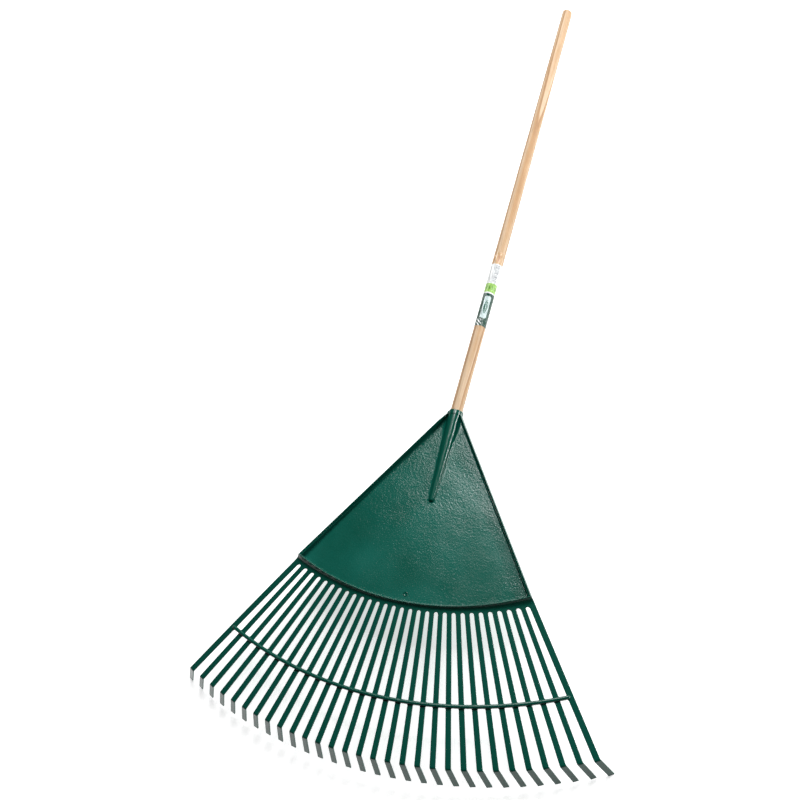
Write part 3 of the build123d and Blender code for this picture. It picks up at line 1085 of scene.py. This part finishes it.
def label_film():
    """Clear film over the wood, printed with bars, a green band and a panel with a leaf."""
    paint = Paint("label_film")
    coords = paint.node("TexCoord").outputs["Object"]
    place = paint.node("SeparateXYZ", {"Vector": coords})
    y = place.outputs["Y"]
    turn = paint.math("ARCTAN2", place.outputs["X"], place.outputs["Z"])
    across = paint.times(paint.math("SUBTRACT", turn, PANEL_FACE), FILM_RADIUS)

    colour = wood_colour(paint, coords)
    colour = paint.layer(colour, WHITE_INK, paint.between(y, 0.0, PRINT_TOP))
    colour = faint_mark(paint, colour, coords, y, across)
    colour = print_bars(paint, colour, coords, y, across)
    colour = green_band(paint, colour, y, across)
    colour = paint.layer(colour, DARK_GREEN_INK, paint.between(y, 0.0, PANEL_TOP))
    colour = leaf_box(paint, colour, y, across)
    colour = corner_stripes(paint, colour, y, across)
    paint.link(colour, "Base Color")

    wrinkle = paint.streaks(coords, 0.25, 0.05)
    paint.link(paint.math("MULTIPLY_ADD", wrinkle, 0.12, 0.16), "Roughness")
    paint.link(paint.bump(wrinkle, 0.3, 0.25), "Normal")
    return paint.material


def floor_paper():
    """White backlit paper."""
    paint = Paint("floor_paper")
    paint.shader.inputs["Base Color"].default_value = (0.9, 0.9, 0.9, 1)
    paint.shader.inputs["Roughness"].default_value = 0.9
    paint.shader.inputs["Emission Color"].default_value = (1, 1, 1, 1)
    paint.shader.inputs["Emission Strength"].default_value = 0.65
    return paint.material


# ---- the pieces

HEAD_NODES = ["handle_socket", "pan_floor", "left_flange", "right_flange", "end_lip"]
HEAD_NODES += ["tine_base", "crossbar"]
HEAD_NODES += [f"tine_{number:02d}" for number in range(1, TINE_COUNT + 1)]


def rake_head():
    """The whole head, as the one moulding that it is."""
    sheet = Sheet()
    tines(sheet, pan_rows(sheet))
    shell = Shell()
    sheet.into(shell)
    crossbar(shell)
    collar(shell)
    gate_mark(shell)
    obj = new_object("rake_head", shell, HEAD, head_plastic())
    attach(obj, "root")
    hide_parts(*HEAD_NODES)


def handle_radius(distance):
    """Radius of the handle: tapered from the mouth to its straight end."""
    share = min(1.0, max(0.0, distance / (HANDLE_REACH - HANDLE_END_LENGTH)))
    return mix(HANDLE_DIAMETER, HANDLE_END_DIAMETER, share) / 2


OUT_OF_TRUE = 0.05


def turned_ripple(along_axis, turn):
    """How far the turned wood is out of true, dying away at the socket and the end."""
    wave = math.sin(along_axis / 61.0) * math.cos(turn) + math.sin(along_axis / 37.0 + turn)
    return OUT_OF_TRUE * wave * smooth(along_axis, 20, 60) * smooth(along_axis, 960, 930)


def on_handle(name, shell, material, node):
    """Puts a piece drawn from the mouth in its place; its own vertices stay in mm."""
    obj = new_object(name, shell, Matrix.Identity(4), material)
    obj.matrix_world = ON_AXIS
    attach(obj, "root")
    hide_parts(node)


def handle():
    """The wooden handle, from its tapered heel in the socket to its rounded end."""
    heel = -HANDLE_INSERTED
    profile = [(heel, 2.0), (heel + 0.6, HEEL_DIAMETER / 2 - 0.6), (heel + 2.0, HEEL_DIAMETER / 2)]
    for k in range(1, 9):
        profile.append((heel * (1 - k / 8), mix(HEEL_DIAMETER, HANDLE_DIAMETER, k / 8) / 2))
    body_end = HANDLE_REACH - HANDLE_END_ROUND
    for k in range(1, 61):
        profile.append((body_end * k / 60, handle_radius(body_end * k / 60)))
    for degrees in range(15, 91, 15):
        turn = math.radians(degrees)
        radius = HANDLE_END_DIAMETER / 2 - HANDLE_END_ROUND * (1 - math.cos(turn))
        profile.append((body_end + HANDLE_END_ROUND * math.sin(turn), radius))
    profile += [(HANDLE_REACH, 3.0), (HANDLE_REACH, 1.0)]
    shell = Shell()
    shell.lathe(profile, steps=72, ripple=turned_ripple)
    on_handle("wooden_handle", shell, handle_wood(), "handle")


FILM_OVERLAP_RISE = 0.12
FILM_EDGE_AT = math.pi + 0.5


def film_overlap(along_axis, turn):
    """The film's free edge, laid over its start at the back of the handle."""
    start = smooth(turn, FILM_EDGE_AT - 0.05, FILM_EDGE_AT)
    return FILM_OVERLAP_RISE * start * smooth(turn, FILM_EDGE_AT + 0.8, FILM_EDGE_AT + 0.4)


def wrap_label():
    """The sleeve of printed film round the handle."""
    start, end = LABEL_FROM_MOUTH, LABEL_FROM_MOUTH + LABEL_LENGTH
    profile = []
    for k in range(13):
        distance = mix(start, end, k / 12)
        profile.append((distance, handle_radius(distance) + LABEL_FILM))
    profile = [(start, profile[0][1] - 0.1)] + profile + [(end, profile[-1][1] - 0.1)]
    profile += [(end, handle_radius(end) + 0.02), (start, handle_radius(start) + 0.02)]
    shell = Shell()
    shell.lathe(profile, steps=96, closed=True, ripple=film_overlap)
    on_handle("wrap_label", shell, label_film(), "handle_label")


SCREW_LENGTH = 20.0
SCREW_SHANK_RADIUS = 1.75
SCREW_CORE_RADIUS = 1.15
SCREW_THREAD_PITCH = 1.3
SCREW_NECK_RADIUS = 1.3
SCREW_HEAD_DEPTH = 3.2
RECESS_DEPTH = 1.3


def recess_depth(radius, turn):
    """How deep the cross recess is at a point of the screw's head."""
    head = SCREW_HEAD_DIAMETER / 2
    arm = min(abs(math.sin(turn)), abs(math.cos(turn))) * radius
    in_arm = smooth(arm, 0.62, 0.38) * smooth(radius, 0.62 * head, 0.45 * head)
    return RECESS_DEPTH * in_arm * (1 - 0.5 * radius / head)


def thread_radius(depth, share_of_turn, tip):
    """Radius of the thread, a single start that dies away towards the tip."""
    thread = (depth / SCREW_THREAD_PITCH + share_of_turn) % 1.0
    crest = max(0.0, 1 - abs(2 * thread - 1) * 2.2)
    radius = mix(SCREW_CORE_RADIUS, SCREW_SHANK_RADIUS, crest)
    return mix(radius, 0.5, smooth(depth, tip + 4, tip + 1))


def fixing_screw():
    """The countersunk screw through the socket's underside, with a cross recess."""
    head = SCREW_HEAD_DIAMETER / 2
    face = boss_radius(SCREW_FROM_MOUTH) + 0.35
    neck = face - SCREW_HEAD_DEPTH
    tip = face - SCREW_LENGTH
    rings = [(face - 0.02, 0.05 * head * k) for k in range(1, 19)]
    rings += [(face - 0.15, 0.97 * head), (face - 0.45, head), (neck, SCREW_NECK_RADIUS)]
    rings += [(neck - 0.2 * k, SCREW_NECK_RADIUS + 0.02 * min(k, 10)) for k in range(1, 70)]
    rings += [(tip + 0.4, 0.9), (tip, 0.2)]
    shell = Shell()
    steps = 48
    rows = []
    for depth, radius in rings:
        row = []
        for k in range(steps):
            turn = 2 * math.pi * k / steps
            out, sunk = radius, 0.0
            if depth > face - 0.1:
                sunk = recess_depth(radius, turn)
            elif tip + 1.0 < depth < neck - 0.3:
                out = thread_radius(depth, k / steps, tip)
            y = out * math.cos(turn) - SCREW_FROM_MOUTH
            row.append(shell.add((out * math.sin(turn), y, sunk - depth)))
        rows.append(row)
    shell.skin(rows[::-1])
    on_handle("fixing_screw_visual", shell, steel(), "fixing_screw")


rake_head()
handle()
wrap_label()
fixing_screw()


# ---- floor, light and camera, in the frame's metres

FLOOR_HALF_SIZE = 12.0


def floor():
    """The plain sheet that the rake lies on."""
    mesh = bpy.data.meshes.new("floor")
    size = FLOOR_HALF_SIZE
    corners = [(-size, -size, 0), (size, -size, 0), (size, size, 0), (-size, size, 0)]
    mesh.from_pydata(corners, [], [(0, 1, 2, 3)])
    mesh.materials.append(floor_paper())
    obj = bpy.data.objects.new("floor", mesh)
    bpy.context.scene.collection.objects.link(obj)


def area_light(name, place, target, size, power):
    """A white rectangular soft box of (width, height), turned towards a target."""
    data = bpy.data.lights.new(name, "AREA")
    data.shape = "RECTANGLE"
    data.size, data.size_y = size
    data.energy = power
    obj = bpy.data.objects.new(name, data)
    obj.location = place
    obj.rotation_euler = (Vector(target) - Vector(place)).to_track_quat("-Z", "Y").to_euler()
    bpy.context.scene.collection.objects.link(obj)


def world(strength):
    """Even white light from all round."""
    made = bpy.data.worlds.new("studio")
    made.use_nodes = True
    background = made.node_tree.nodes["Background"]
    background.inputs["Color"].default_value = (1, 1, 1, 1)
    background.inputs["Strength"].default_value = strength
    bpy.context.scene.world = made


def camera():
    """Looks down on the tray side from beyond the tines and from their +X side.
    Its place and directions are in the head's own."""
    place = Vector((783.9, -751.4, 2180.0))
    forward = Vector((-0.3594, 0.3062, -0.8815)).normalized()
    upward = Vector((-0.122, 0.9211, 0.3697))
    side = forward.cross(upward).normalized()
    upward = side.cross(forward)
    turn = Matrix((side, upward, -forward)).transposed()
    data = bpy.data.cameras.new("camera")
    data.sensor_width = 36.0
    data.lens = 58.5
    data.clip_end = 50
    obj = bpy.data.objects.new("camera", data)
    bpy.context.scene.collection.objects.link(obj)
    obj.location = HEAD @ place
    obj.rotation_mode = "QUATERNION"
    obj.rotation_quaternion = (HEAD.to_3x3() * (1 / MM) @ turn).to_quaternion()
    bpy.context.scene.camera = obj


floor()
world(0.03)
area_light("key", (-0.15, 2.33, 3.15), (0, -0.2, 0.07), (2.5, 2.1), 148)
area_light("crest", (0.29, 0.82, 2.3), (0, 0, 0.07), (0.45, 0.24), 9)
area_light("back", (1.3, 3.2, 1.9), (0, 0, 0.05), (2.8, 1.2), 60)
area_light("strip", (1.9, 0.6, 0.72), (0, -0.03, 0.05), (0.6, 0.12), 18)
camera()
bpy.context.scene.view_settings.view_transform = "Standard"
